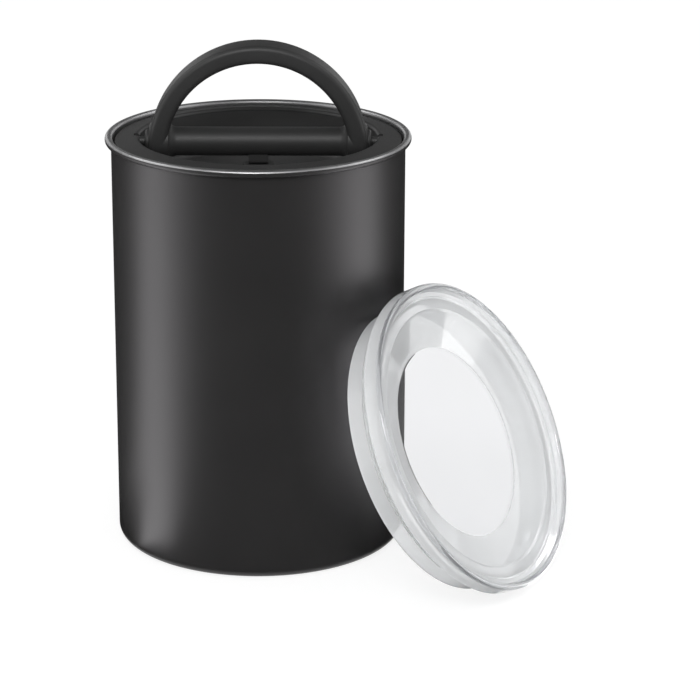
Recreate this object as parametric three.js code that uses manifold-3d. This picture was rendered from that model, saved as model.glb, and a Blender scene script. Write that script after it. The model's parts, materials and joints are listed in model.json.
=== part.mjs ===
// Coffee canister: a drawn steel can, a push-down inner lid with a folding handle and a vent valve,
// and a clear outer lid that stands beside the can and leans on its wall.
// Millimetres, +Z up. The origin is the centre of the can's base, on the surface that it stands on.
// X runs along the handle's pivot, and the handle folds towards +Y.

import * as THREE from 'three';
import { mergeVertices } from 'three/addons/utils/BufferGeometryUtils.js';
import Module from 'manifold-3d';

// Can
const canDiameter = 122;
const canHeight = 174.2;
const sheetThickness = 0.6;
const rimRollRadius = 1.55;
const rimRollDegrees = 275;
const baseFillet = 3.8;

// Clearances: between pieces that slide or turn, and between pieces seated on each other
const runningGap = 0.3;
const seatGap = 0.2;

// Inner lid: upper moulding
const lidSink = 0.7;
const lidGap = 0.8;
const flangeWidth = 10.3;
const flangeFall = 1.2;
const flangeThickness = 2.2;
const flangeRound = 1.0;
const mouldedWall = 2.2;
const wellDepth = 19.5;
const wellFillet = 3;
const wellLip = 1.5;
const floorThickness = 2.5;
const skirtInset = 1.2;

// Inner lid: lower moulding and wiper seal
const spigotHeight = 4;
const baseThickness = 2;
const baseRound = 1.2;
const sealFootThickness = 2;
const sealLipHeight = 5;
const sealLipThickness = 0.9;

// Vent openings in the two mouldings
const ventHoleCount = 6;
const ventHoleDiameter = 3;
const slotCount = 12;
const slotWidth = 2;
const slotLength = 9;
const slotHubDiameter = 10;

// Handle
const handleSideGap = 3.9;
const handleRise = 41.5;
const crownThickness = 7.6;
const legThickness = 7.7;
const handleDepth = 16.2;
const handleRound = 2.2;
const barDiameter = 12;
const barFillet = 4;
const collarDiameter = 10;
const collarWidth = 1.6;
const collarRound = 1.2;
const pivotDrop = 2.8;
const trunnionDiameter = 4;
const bearingDepth = 2;
const bearingWall = 1.5;
const snapGrip = 0.4;

// Vent valve and its cam
const valveTravel = 3;
const camWidth = 8;
const camNose = 1.6;
const camRelief = 0.1;
const stemDiameter = 4;
const stemChamfer = 0.4;
const guideHeight = 2;
const guideWall = 1.9;
const buttonThickness = 1.6;
const buttonRim = 0.8;
const socketRoof = 0.8;
const socketWall = 1.6;
const poppetThickness = 1.8;
const poppetRim = 0.6;
const poppetClearance = 0.7;
const valveSealThickness = 1.5;
const valveSealMargin = 0.9;

// Valve spring
const springMeanDiameter = 10.4;
const springWire = 0.8;
const springTurns = 3.25;
const springStepsPerTurn = 8;
const springSides = 5;

// Outer lid, measured down from the top of its rim
const rimOverhang = 1.5;
const lidRimWidth = 2.9;
const lidRimRound = 1.4;
const upperLedgeDepth = 3;
const upperLedgeWidth = 2.4;
const ledgeStep = 0.7;
const lowerLedgeWidth = 4.3;
const dishDepth = 9.8;
const dishFloorDiameter = 80;
const dishFillet = 2.5;
const clearWall = 1.8;
const lidSeatDepth = 6;
const lidLipDepth = 7.6;
const lidLipThickness = 1.4;
const plugGap = 0.6;
const plugWall = 2;
const outerLidHeight = 20;
const edgeRound = 0.4;

// Gasket in the groove round the outer lid's plug
const grooveTop = 9.4;
const grooveHeight = 3.2;
const grooveDepth = 1;
const gasketProud = 0.5;

// How the outer lid stands: the bearing of its face, how far it faces up, and how far it is off to one side
const lidBearingDegrees = -29.25;
const lidRaiseDegrees = 26.94;
const lidShift = -5.6;

// Facets
const turnSegments = 48;
const smallSegments = 24;
const mergeTolerance = 1e-4;

// Places worked out from the sizes above
const canRadius = canDiameter / 2;
const canBore = canRadius - sheetThickness;
const rimRadius = canBore + 2 * rimRollRadius;
const lidTop = canHeight - lidSink;
const lidRadius = canBore - lidGap;
const wellRadius = lidRadius - flangeWidth;
const skirtRadius = lidRadius - skirtInset;
const skirtBore = skirtRadius - mouldedWall;
const spigotRadius = skirtBore - runningGap;
const spigotBore = spigotRadius - mouldedWall;

// Heights in the inner lid's own frame, which has its zero at the top of the flange
const floorTop = -wellDepth;
const floorUnder = floorTop - floorThickness;
const skirtUnder = floorUnder - spigotHeight;
const sealTop = skirtUnder - seatGap;
const sealUnder = sealTop - sealFootThickness;
const baseRimTop = sealUnder - seatGap;
const valveSealTop = floorUnder - runningGap - valveTravel;
const valveSealUnder = valveSealTop - valveSealThickness;
const poppetTop = valveSealUnder - seatGap;
const poppetUnder = poppetTop - poppetThickness;
const chamberFloor = Math.min(poppetUnder - poppetClearance, baseRimTop);
const baseUnder = chamberFloor - baseThickness;

// Valve train, from the cam down
const barRadius = barDiameter / 2;
const camLow = barRadius + camRelief;
const camHigh = camLow + valveTravel;
const buttonTop = -pivotDrop - camHigh - runningGap;
const buttonUnder = buttonTop - buttonThickness;
const stemRadius = stemDiameter / 2;
const stemHole = stemRadius + runningGap;
const guideRadius = stemHole + guideWall;
const guideTop = floorTop + guideHeight;
const socketRadius = stemRadius + seatGap;
const socketTop = buttonTop - socketRoof;
const springOutside = springMeanDiameter / 2 + springWire / 2;
const ventHoleRadius = ventHoleDiameter / 2;
const ventRing = springOutside + ventHoleRadius + 2 * runningGap;
const valveSealRadius = ventRing + ventHoleRadius + valveSealMargin;

// Handle
const handleRadius = wellRadius - handleSideGap;
const handleBore = handleRadius - legThickness;
const archCentre = handleRise - handleRadius;
const archBoreCentre = handleRise - crownThickness - handleBore;
const bossRadius = handleDepth / 2;
const trunnionRadius = trunnionDiameter / 2;
const bearingRadius = trunnionRadius + runningGap;

// Outer lid
const outerLidRadius = rimRadius + rimOverhang;
const upperLedgeRadius = outerLidRadius - lidRimWidth - edgeRound;
const lowerLedgeRadius = upperLedgeRadius - upperLedgeWidth;
const dishTopRadius = lowerLedgeRadius - lowerLedgeWidth;
const dishFloorRadius = dishFloorDiameter / 2;
const plugRadius = canBore - plugGap;
const plugBore = plugRadius - plugWall;
const grooveRadius = plugRadius - grooveDepth;
const grooveUnder = grooveTop + grooveHeight;

const degrees = Math.PI / 180;
const wasm = await Module();
wasm.setup();

// Points of an arc from one angle to another, in degrees, both ends included
function arc(centreX, centreY, radius, from, to, steps) {
  const points = [];
  for (let step = 0; step <= steps; step += 1) {
    const angle = (from + ((to - from) * step) / steps) * degrees;
    points.push([centreX + radius * Math.cos(angle), centreY + radius * Math.sin(angle)]);
  }
  return points;
}

// Shares corner points between facets and drops the facets that close up on the axis
function closeSurface(geometry) {
  geometry.deleteAttribute('normal');
  geometry.deleteAttribute('uv');
  const merged = mergeVertices(geometry, mergeTolerance);
  const corners = merged.index.array;
  const kept = [];
  for (let face = 0; face < corners.length; face += 3) {
    const [a, b, c] = corners.slice(face, face + 3);
    if (a !== b && b !== c && c !== a) kept.push(a, b, c);
  }
  merged.setIndex(kept);
  return merged;
}

// Turns a profile of [radius, height] points about Z. The profile runs anticlockwise, and either starts
// and ends on the axis or closes on itself.
function revolve(profile, segments = turnSegments) {
  const points = profile.map(([radius, height]) => new THREE.Vector2(radius, height));
  const endsOnAxis = profile[0][0] === 0 && profile.at(-1)[0] === 0;
  if (!endsOnAxis) points.push(points[0].clone());
  const geometry = new THREE.LatheGeometry(points, segments);
  geometry.rotateX(Math.PI / 2);
  return closeSurface(geometry);
}

// Extrudes an outline, centred on its plane. rounding takes that much off every edge.
function extrude(outline, depth, rounding = 0, roundingSteps = 3) {
  const shape = new THREE.Shape(outline.map(([x, y]) => new THREE.Vector2(x, y)));
  const geometry = new THREE.ExtrudeGeometry(shape, {
    depth: depth - 2 * rounding,
    bevelEnabled: rounding > 0,
    bevelSize: rounding,
    bevelThickness: rounding,
    bevelOffset: -rounding,
    bevelSegments: roundingSteps,
    steps: 1,
  });
  geometry.translate(0, 0, rounding - depth / 2);
  return closeSurface(geometry);
}

// Moves a solid drawn in the XY plane to the XZ plane, its depth along Y
function standUp(geometry) {
  return geometry.rotateX(Math.PI / 2);
}

// Moves a solid drawn in the XY plane to the YZ plane, its depth along X
function faceAlongX(geometry) {
  const across = new THREE.Vector3(0, 1, 0);
  const up = new THREE.Vector3(0, 0, 1);
  const along = new THREE.Vector3(1, 0, 0);
  return geometry.applyMatrix4(new THREE.Matrix4().makeBasis(across, up, along));
}

// A round rod along X between two places
function rodAlongX(radius, from, to) {
  const geometry = new THREE.CylinderGeometry(radius, radius, to - from, smallSegments);
  geometry.rotateZ(Math.PI / 2);
  geometry.translate((from + to) / 2, 0, 0);
  return closeSurface(geometry);
}

function toSolid(geometry) {
  return new wasm.Manifold(new wasm.Mesh({
    numProp: 3,
    vertProperties: new Float32Array(geometry.attributes.position.array),
    triVerts: new Uint32Array(geometry.index.array),
  }));
}

function toGeometry(solid) {
  const mesh = solid.getMesh();
  const geometry = new THREE.BufferGeometry();
  geometry.setAttribute('position', new THREE.BufferAttribute(mesh.vertProperties, 3));
  geometry.setIndex(new THREE.BufferAttribute(mesh.triVerts, 1));
  return geometry;
}

function join(geometries) {
  return toGeometry(geometries.map(toSolid).reduce((whole, piece) => whole.add(piece)));
}

function cut(geometry, tools) {
  return toGeometry(tools.map(toSolid).reduce((whole, tool) => whole.subtract(tool), toSolid(geometry)));
}

function node(name, geometry, material) {
  geometry.computeVertexNormals();
  const mesh = new THREE.Mesh(geometry, material);
  mesh.name = name;
  return mesh;
}

const satinBlack = new THREE.MeshStandardMaterial({ color: '#2c2c2e', roughness: 0.42, metalness: 0.6 });
const blackPlastic = new THREE.MeshStandardMaterial({ color: '#262627', roughness: 0.5, metalness: 0 });
const greySilicone = new THREE.MeshStandardMaterial({ color: '#4a4b4d', roughness: 0.75, metalness: 0 });
const springSteel = new THREE.MeshStandardMaterial({ color: '#b9babd', roughness: 0.3, metalness: 1 });
const clearPlastic = new THREE.MeshStandardMaterial({
  color: '#e3eaec', roughness: 0.08, metalness: 0, transparent: true, opacity: 0.4,
});
const clearSilicone = new THREE.MeshStandardMaterial({
  color: '#e6e8e6', roughness: 0.4, metalness: 0, transparent: true, opacity: 0.7,
});

// Can: one sheet from the middle of the base up the wall and round the rolled rim
function canBody() {
  const rollCentre = canBore + rimRollRadius;
  const rollHeight = canHeight - rimRollRadius;
  const rollBore = rimRollRadius - sheetThickness;
  const rollEnd = 180 - rimRollDegrees;
  const innerFillet = Math.max(baseFillet - sheetThickness, edgeRound);
  return revolve([
    [0, 0],
    ...arc(canRadius - baseFillet, baseFillet, baseFillet, -90, 0, 4),
    ...arc(rollCentre, rollHeight, rollBore, 180, rollEnd, 8),
    ...arc(rollCentre, rollHeight, rimRollRadius, rollEnd, 180, 10),
    ...arc(canBore - innerFillet, sheetThickness + innerFillet, innerFillet, 0, -90, 3),
    [0, sheetThickness],
  ]);
}

// Upper moulding: a flange that falls outwards, a well with its floor and stem guide, and a skirt, with
// a bearing for each trunnion that is open at the top, so that the handle snaps in
function lidPlate() {
  const wellOutside = wellRadius + mouldedWall;
  const outerFillet = Math.min(wellFillet + mouldedWall, wellDepth);
  const flangeUnder = -flangeFall - flangeThickness;
  const shell = revolve([
    [stemHole, floorUnder],
    ...arc(wellOutside - outerFillet, floorUnder + outerFillet, outerFillet, -90, 0, 3),
    [wellOutside, -flangeThickness],
    [skirtBore, flangeUnder],
    [skirtBore, skirtUnder],
    [skirtRadius, skirtUnder],
    [skirtRadius, flangeUnder],
    [lidRadius, flangeUnder],
    ...arc(lidRadius - flangeRound, -flangeFall - flangeRound, flangeRound, 0, 90, 2),
    ...arc(wellRadius + wellLip, -wellLip, wellLip, 90, 180, 3),
    ...arc(wellRadius - wellFillet, floorTop + wellFillet, wellFillet, 0, -90, 3),
    [guideRadius, floorTop],
    [guideRadius, guideTop],
    [stemHole, guideTop],
  ]);
  const blockWidth = 2 * (bearingRadius + bearingWall);
  const blockDepth = pivotDrop + bearingRadius + bearingWall;
  const blockFrom = wellRadius + mouldedWall / 2;
  const blockTo = wellRadius + bearingDepth + runningGap + bearingWall;
  const blocks = [];
  const seats = [];
  for (const side of [-1, 1]) {
    const block = new THREE.BoxGeometry(blockTo - blockFrom, blockWidth, blockDepth - flangeThickness / 2);
    block.translate(side * (blockFrom + blockTo) / 2, 0, -(blockDepth + flangeThickness / 2) / 2);
    blocks.push(closeSurface(block));
    const ends = [side * (wellRadius - wellLip), side * (wellRadius + bearingDepth + runningGap)];
    const seat = rodAlongX(bearingRadius, Math.min(...ends), Math.max(...ends));
    seats.push(seat.translate(0, 0, -pivotDrop));
    const mouthHeight = pivotDrop + edgeRound;
    const mouthLength = Math.abs(ends[1] - ends[0]);
    const mouth = new THREE.BoxGeometry(mouthLength, trunnionDiameter - snapGrip, mouthHeight);
    mouth.translate((ends[0] + ends[1]) / 2, 0, mouthHeight / 2 - pivotDrop);
    seats.push(closeSurface(mouth));
  }
  const vents = [];
  for (let hole = 0; hole < ventHoleCount; hole += 1) {
    const angle = (2 * Math.PI * (hole + 0.5)) / ventHoleCount;
    const drillLength = 2 * floorThickness;
    const drill = new THREE.CylinderGeometry(ventHoleRadius, ventHoleRadius, drillLength, smallSegments / 2);
    drill.rotateX(Math.PI / 2);
    drill.translate(ventRing * Math.cos(angle), ventRing * Math.sin(angle), floorTop - floorThickness / 2);
    vents.push(closeSurface(drill));
  }
  return cut(join([shell, ...blocks]), [...seats, ...vents]);
}

// Lower moulding: flat underside with a ring of vent slots, seal clamp, and spigot inside the skirt
function lidBase() {
  const disc = revolve([
    [0, baseUnder],
    ...arc(skirtRadius - baseRound, baseUnder + baseRound, baseRound, -90, 0, 3),
    [skirtRadius, baseRimTop],
    [spigotRadius, baseRimTop],
    [spigotRadius, floorUnder - runningGap],
    [spigotBore, floorUnder - runningGap],
    [spigotBore, chamberFloor],
    [0, chamberFloor],
  ]);
  const slots = [];
  for (let slot = 0; slot < slotCount; slot += 1) {
    const cutter = new THREE.BoxGeometry(slotLength, slotWidth, 2 * baseThickness);
    cutter.translate(slotHubDiameter / 2 + slotLength / 2, 0, chamberFloor - baseThickness / 2);
    cutter.rotateZ((2 * Math.PI * slot) / slotCount);
    slots.push(closeSurface(cutter));
  }
  return cut(disc, slots);
}

// Wiper seal: a flat foot clamped under the skirt, and a lip that flares out and up to the can wall
function wiperSeal() {
  const footBore = spigotRadius + seatGap;
  const lipRadius = canBore - runningGap;
  const lipTop = sealUnder + sealLipHeight;
  return revolve([
    [footBore, sealUnder],
    [skirtRadius, sealUnder],
    [lipRadius, lipTop - sealLipThickness],
    [lipRadius, lipTop],
    [lipRadius - sealLipThickness, lipTop],
    [skirtRadius + seatGap, sealTop],
    [footBore, sealTop],
  ]);
}

// Outline of the arch, in the plane of the handle, with its zero on the pivot. The legs end in the bosses.
function archOutline() {
  const legEnd = -handleRound;
  const outerEnd = Math.asin((legEnd - archCentre) / handleRadius) / degrees;
  const innerEnd = Math.asin((legEnd - archBoreCentre) / handleBore) / degrees;
  return [
    ...arc(0, archCentre, handleRadius, outerEnd, 180 - outerEnd, 26),
    ...arc(0, archBoreCentre, handleBore, 180 - innerEnd, innerEnd, 24),
  ];
}

// Cam under the bar. Its working face is an involute, so the button moves evenly as the handle turns.
function valveCam() {
  const slope = valveTravel / (Math.PI / 2);
  const noseAcross = -slope;
  const noseUp = camNose - camHigh;
  const face = [];
  const faceSteps = 8;
  for (let step = 0; step <= faceSteps; step += 1) {
    const turn = ((Math.PI / 2) * step) / faceSteps;
    const reach = camHigh - slope * turn;
    const across = reach * Math.sin(turn) - slope * Math.cos(turn);
    const up = -reach * Math.cos(turn) - slope * Math.sin(turn);
    face.push([across, up]);
  }
  const outline = [
    [0, 0],
    [noseAcross - camNose, 0],
    ...arc(noseAcross, noseUp, camNose, 180, 270, 4).slice(0, -1),
    ...face,
    [camLow, 0],
  ];
  return faceAlongX(extrude(outline, camWidth));
}

// The round part of the handle along its pivot: the bar, which flares into a boss at each leg, and a collar
// outside each leg
function barProfile() {
  const outerReach = Math.sqrt(handleRadius ** 2 - archCentre ** 2);
  const innerReach = Math.sqrt(handleBore ** 2 - archBoreCentre ** 2);
  const collarRadius = collarDiameter / 2;
  const collarReach = outerReach + collarWidth;
  const flareCentre = barRadius + barFillet;
  const flareEnd = Math.acos(Math.max((bossRadius - flareCentre) / barFillet, -1)) / degrees;
  const half = [
    ...arc(flareCentre, innerReach - barFillet, barFillet, 180, flareEnd, 4),
    ...arc(bossRadius - handleRound, outerReach - handleRound, handleRound, 0, 90, 3),
    [collarRadius, outerReach],
    ...arc(collarRadius - collarRound, collarReach - collarRound, collarRound, 0, 90, 3),
    [0, collarReach],
  ];
  const otherHalf = half.map(([radius, along]) => [radius, -along]).reverse();
  return [...otherHalf, ...half];
}

function handle() {
  const arch = standUp(extrude(archOutline(), handleDepth, handleRound));
  const bar = revolve(barProfile(), smallSegments).rotateY(Math.PI / 2);
  const trunnionReach = wellRadius + bearingDepth;
  const trunnions = rodAlongX(trunnionRadius, -trunnionReach, trunnionReach);
  return join([arch, bar, trunnions, valveCam()]);
}

// Button: the cap that the cam presses, with a socket for the stem
function valveButton() {
  const buttonRadius = springOutside + buttonRim;
  const socketOutside = socketRadius + socketWall;
  const socketUnder = guideTop + 2 * runningGap;
  return revolve([
    [0, socketTop],
    [socketRadius, socketTop],
    [socketRadius, socketUnder],
    [socketOutside, socketUnder],
    [socketOutside, buttonUnder],
    [buttonRadius, buttonUnder],
    ...arc(buttonRadius - edgeRound, buttonTop - edgeRound, edgeRound, 0, 90, 2),
    [0, buttonTop],
  ], smallSegments);
}

// Poppet: the valve disc under the floor and its stem
function valvePoppet() {
  const poppetRadius = valveSealRadius + poppetRim;
  const stemTop = socketTop - seatGap;
  return revolve([
    [0, poppetUnder],
    ...arc(poppetRadius - edgeRound, poppetUnder + edgeRound, edgeRound, -90, 0, 2),
    [poppetRadius, poppetTop],
    [stemRadius, poppetTop],
    [stemRadius, stemTop - stemChamfer],
    [stemRadius - stemChamfer, stemTop],
    [0, stemTop],
  ], smallSegments);
}

// Washer on the poppet, with a raised bead that meets the floor outside the vent holes
function valveSeal() {
  const bore = stemRadius + seatGap;
  const faceTop = valveSealTop - edgeRound;
  return revolve([
    [bore, valveSealUnder],
    [valveSealRadius, valveSealUnder],
    [valveSealRadius, faceTop],
    [valveSealRadius - edgeRound, valveSealTop],
    [valveSealRadius - 2 * edgeRound, valveSealTop],
    [valveSealRadius - 3 * edgeRound, faceTop],
    [bore, faceTop],
  ], smallSegments);
}

// The line along the middle of the spring's wire
class SpringLine extends THREE.Curve {
  constructor(radius, from, to, turns) {
    super();
    Object.assign(this, { radius, from, to, turns });
  }

  getPoint(share, target = new THREE.Vector3()) {
    const angle = 2 * Math.PI * this.turns * share;
    const height = this.from + (this.to - this.from) * share;
    return target.set(this.radius * Math.cos(angle), this.radius * Math.sin(angle), height);
  }
}

// Least gap between turns of the spring's wire, measured on points of its line at least half a turn apart
function springLeastGap(line) {
  const count = springTurns * 48;
  const points = line.getPoints(count);
  let least = Infinity;
  for (let first = 0; first < points.length; first += 1) {
    for (let other = first + 24; other < points.length; other += 1) {
      least = Math.min(least, points[first].distanceTo(points[other]));
    }
  }
  return least - springWire;
}

function valveSpring() {
  const from = floorTop + seatGap + springWire / 2;
  const to = buttonUnder - seatGap - springWire / 2;
  const line = new SpringLine(springMeanDiameter / 2, from, to, springTurns);
  console.log(`valve spring: least gap between turns ${springLeastGap(line).toFixed(2)} mm`);
  const section = arc(0, 0, springWire / 2, 0, 360, springSides).slice(0, -1);
  const shape = new THREE.Shape(section.map(([x, y]) => new THREE.Vector2(x, y)));
  const steps = Math.round(springTurns * springStepsPerTurn);
  return closeSurface(new THREE.ExtrudeGeometry(shape, { steps, extrudePath: line, bevelEnabled: false }));
}

// Outer lid: a rim, two ledges and a sloping wall down to a flat floor, and a plug for the can's mouth
function outerLidProfile() {
  const lowerLedgeDepth = upperLedgeDepth + ledgeStep;
  const slopeTopDepth = lowerLedgeDepth + ledgeStep;
  const slopeTopRadius = dishTopRadius - ledgeStep;
  const lipBore = outerLidRadius - lidLipThickness;
  return [
    [0, -dishDepth - clearWall],
    [dishFloorRadius + clearWall / 4, -dishDepth - clearWall],
    [dishFloorRadius + dishFillet, -dishDepth - clearWall / 2],
    [slopeTopRadius + clearWall / 2, -slopeTopDepth - clearWall],
    [plugBore, -lowerLedgeDepth - clearWall],
    ...arc(plugBore + edgeRound, edgeRound - outerLidHeight, edgeRound, 180, 270, 2),
    ...arc(plugRadius - edgeRound, edgeRound - outerLidHeight, edgeRound, -90, 0, 2),
    [plugRadius, -grooveUnder],
    [grooveRadius, -grooveUnder],
    [grooveRadius, -grooveTop],
    [plugRadius, -grooveTop],
    [plugRadius, -lidSeatDepth],
    [lipBore, -lidSeatDepth],
    ...arc(lipBore + edgeRound, edgeRound - lidLipDepth, edgeRound, 180, 270, 2),
    ...arc(outerLidRadius - edgeRound, edgeRound - lidLipDepth, edgeRound, -90, 0, 2),
    ...arc(outerLidRadius - lidRimRound, -lidRimRound, lidRimRound, 0, 90, 4),
    ...arc(outerLidRadius - lidRimWidth + lidRimRound, -lidRimRound, lidRimRound, 90, 180, 3),
    [upperLedgeRadius, -upperLedgeDepth],
    [lowerLedgeRadius + ledgeStep, -upperLedgeDepth],
    [lowerLedgeRadius, -lowerLedgeDepth],
    [dishTopRadius, -lowerLedgeDepth],
    [slopeTopRadius, -slopeTopDepth],
    [dishFloorRadius + dishFillet, -dishDepth + clearWall / 2],
    [dishFloorRadius, -dishDepth],
    [0, -dishDepth],
  ];
}

// Gasket: a ring in the plug's groove with two rounded ribs
function gasketProfile() {
  const bore = grooveRadius + seatGap;
  const outside = plugRadius + gasketProud;
  const top = -grooveTop - seatGap;
  const under = seatGap - grooveUnder;
  const ribRadius = (top - under) / 4;
  const ribCentre = outside - ribRadius;
  return [
    [bore, under],
    ...arc(ribCentre, under + ribRadius, ribRadius, -90, 60, 4),
    ...arc(ribCentre, top - ribRadius, ribRadius, -60, 90, 4),
    [bore, top],
  ];
}

// How far the middle of the outer lid's rim stands from the can's axis when its back edge is as near to a
// round wall as it may be
function standOff(profile, raise, wallRadius) {
  let most = 0;
  for (const [radius, height] of profile) {
    for (let turn = 0; turn < 360; turn += 1) {
      const aside = lidShift + radius * Math.sin(turn * degrees);
      const behind = radius * Math.cos(turn * degrees) * Math.sin(raise) - height * Math.cos(raise);
      const wall = Math.sqrt(Math.max(wallRadius ** 2 - aside ** 2, 0));
      most = Math.max(most, wall + behind);
    }
  }
  return most;
}

// Stands the outer lid on the floor, leaning on the can: its lowest edge is at height 0, and its upper
// edge is a running gap from the can's wall, or from the rim where the lid reaches that high
function leanOuterLid(lid, profile) {
  const raise = lidRaiseDegrees * degrees;
  const down = profile.map(([radius, height]) => radius * Math.cos(raise) - height * Math.sin(raise));
  const lift = Math.max(...down);
  const topOfLid = lift + outerLidRadius * Math.cos(raise);
  const leansOn = topOfLid > canHeight - 2 * rimRollRadius ? rimRadius : canRadius;
  lid.rotation.y = Math.PI / 2 - raise;
  lid.position.set(standOff(profile, raise, leansOn + runningGap), lidShift, lift);
  const bearing = new THREE.Group();
  bearing.rotation.z = lidBearingDegrees * degrees;
  bearing.add(lid);
  return bearing;
}

const canister = new THREE.Group();
canister.add(node('can_body', canBody(), satinBlack));

const innerLid = new THREE.Group();
innerLid.position.z = lidTop;
innerLid.add(node('lid_plate', lidPlate(), blackPlastic));
innerLid.add(node('lid_base', lidBase(), blackPlastic));
innerLid.add(node('wiper_seal', wiperSeal(), greySilicone));
innerLid.add(node('valve_button', valveButton(), blackPlastic));
innerLid.add(node('valve_poppet', valvePoppet(), blackPlastic));
innerLid.add(node('valve_seal', valveSeal(), greySilicone));
innerLid.add(node('valve_spring', valveSpring(), springSteel));
canister.add(innerLid);

const handleMesh = node('handle', handle(), blackPlastic);
handleMesh.position.z = -pivotDrop;
innerLid.add(handleMesh);

const outerLid = new THREE.Group();
const lidProfile = outerLidProfile();
outerLid.add(node('outer_lid', revolve(lidProfile), clearPlastic));
outerLid.add(node('lid_gasket', revolve(gasketProfile()), clearSilicone));
canister.add(leanOuterLid(outerLid, lidProfile));

export default canister;
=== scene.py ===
"""Looks of the coffee canister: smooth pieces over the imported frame, materials, studio light and camera.

Profiles are in millimetres, as in the part's source, and scaled to metres where a mesh is made.
"""

import json
import math

import bmesh
import bpy
from mathutils import Matrix, Vector


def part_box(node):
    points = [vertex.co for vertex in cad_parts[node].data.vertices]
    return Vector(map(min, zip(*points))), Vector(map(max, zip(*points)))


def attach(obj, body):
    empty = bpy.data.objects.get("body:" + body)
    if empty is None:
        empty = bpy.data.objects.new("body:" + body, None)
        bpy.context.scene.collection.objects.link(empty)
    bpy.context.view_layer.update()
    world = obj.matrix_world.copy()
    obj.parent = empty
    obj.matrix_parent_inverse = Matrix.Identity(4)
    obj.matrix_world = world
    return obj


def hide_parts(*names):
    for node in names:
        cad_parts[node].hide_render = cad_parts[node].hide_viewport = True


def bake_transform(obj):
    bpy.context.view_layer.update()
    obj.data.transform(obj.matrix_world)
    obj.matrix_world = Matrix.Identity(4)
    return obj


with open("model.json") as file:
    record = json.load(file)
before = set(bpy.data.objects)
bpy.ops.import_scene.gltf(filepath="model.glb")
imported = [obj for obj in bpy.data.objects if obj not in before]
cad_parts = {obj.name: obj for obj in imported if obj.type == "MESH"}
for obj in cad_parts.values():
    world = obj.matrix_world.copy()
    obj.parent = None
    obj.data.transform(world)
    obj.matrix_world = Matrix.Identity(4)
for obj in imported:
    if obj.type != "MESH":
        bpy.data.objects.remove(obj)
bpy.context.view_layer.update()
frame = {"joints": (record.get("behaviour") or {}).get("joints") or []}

MM = 0.001
MERGE_DISTANCE = 1e-7
SHARP_ANGLE = math.radians(32)

# Fineness of the curves: parts of a full turn, and steps of an arc
SEGMENTS = 192
SMALL_SEGMENTS = 96
ROD_SEGMENTS = 48
ARCH_STEPS = 96
ROLL_STEPS = 20
FLARE_STEPS = 14
FILLET_STEPS = 12
WELL_STEPS = 10
ROUND_STEPS = 8
EDGE_STEPS = 6

# Sizes that several pieces share, in millimetres. SUPPORT is how near its ends a straight has a point.
SUPPORT = 0.3
EDGE_ROUND = 0.4
RUNNING_GAP = 0.3
SEAT_GAP = 0.2
CUT_OVERRUN = 1

# Can, in millimetres. The coat ends part of the way up the outside of the rolled rim.
CAN_RADIUS = 61
SHEET = 0.6
RIM_ROLL_RADIUS = 1.55
RIM_ROLL_DEGREES = 275
COAT_END_DEGREES = 22
BASE_FILLET = 3.8
CAN_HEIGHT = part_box("can_body")[1].z / MM
CAN_BORE = CAN_RADIUS - SHEET
RIM_RADIUS = CAN_BORE + 2 * RIM_ROLL_RADIUS

# Inner lid, with heights below the top of its flange
LID_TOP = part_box("lid_plate")[1].z / MM
LID_GAP = 0.8
LID_RADIUS = CAN_BORE - LID_GAP
FLANGE_WIDTH = 10.3
FLANGE_FALL = 1.2
FLANGE_THICKNESS = 2.2
FLANGE_ROUND = 1.0
WELL_RADIUS = LID_RADIUS - FLANGE_WIDTH
MOULDED_WALL = 2.2
WELL_FILLET = 3
WELL_LIP = 1.5
SKIRT_INSET = 1.2
SKIRT_RADIUS = LID_RADIUS - SKIRT_INSET
SKIRT_BORE = SKIRT_RADIUS - MOULDED_WALL
SPIGOT_RADIUS = SKIRT_BORE - RUNNING_GAP
FLOOR_TOP = -19.5
FLOOR_THICKNESS = 2.5
FLOOR_UNDER = FLOOR_TOP - FLOOR_THICKNESS
SPIGOT_HEIGHT = 4
SKIRT_UNDER = FLOOR_UNDER - SPIGOT_HEIGHT
SEAL_FOOT_THICKNESS = 2
SEAL_LIP_HEIGHT = 5
SEAL_LIP_THICKNESS = 0.9
SEAL_TOP = SKIRT_UNDER - SEAT_GAP
SEAL_UNDER = SEAL_TOP - SEAL_FOOT_THICKNESS
BASE_ROUND = 1.2
BASE_THICKNESS = 2
BASE_RIM_TOP = SEAL_UNDER - SEAT_GAP
STEM_RADIUS = 2
STEM_HOLE = STEM_RADIUS + RUNNING_GAP
GUIDE_RADIUS = 4.2
GUIDE_HEIGHT = 2
GUIDE_TOP = FLOOR_TOP + GUIDE_HEIGHT
VENT_COUNT = 6
VENT_RADIUS = 1.5
VENT_RING = 7.7
SLOT_COUNT = 12
SLOT_WIDTH = 2
SLOT_LENGTH = 9
SLOT_HUB_RADIUS = 5

# Handle, with heights above its pivot
PIVOT_DROP = 2.8
HANDLE_SIDE_GAP = 3.9
HANDLE_RADIUS = WELL_RADIUS - HANDLE_SIDE_GAP
HANDLE_RISE = 41.5
CROWN_THICKNESS = 7.6
LEG_THICKNESS = 7.7
HANDLE_DEPTH = 16.2
HANDLE_ROUND = 2.2
HANDLE_BORE = HANDLE_RADIUS - LEG_THICKNESS
ARCH_CENTRE = HANDLE_RISE - HANDLE_RADIUS
ARCH_BORE_CENTRE = HANDLE_RISE - CROWN_THICKNESS - HANDLE_BORE
BOSS_RADIUS = HANDLE_DEPTH / 2
BAR_RADIUS = 6
BAR_FILLET = 4
COLLAR_RADIUS = 5
COLLAR_WIDTH = 1.6
COLLAR_ROUND = 1.2
TRUNNION_RADIUS = 2
SNAP_GRIP = 0.4
BEARING_DEPTH = 2
BEARING_WALL = 1.5

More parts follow.
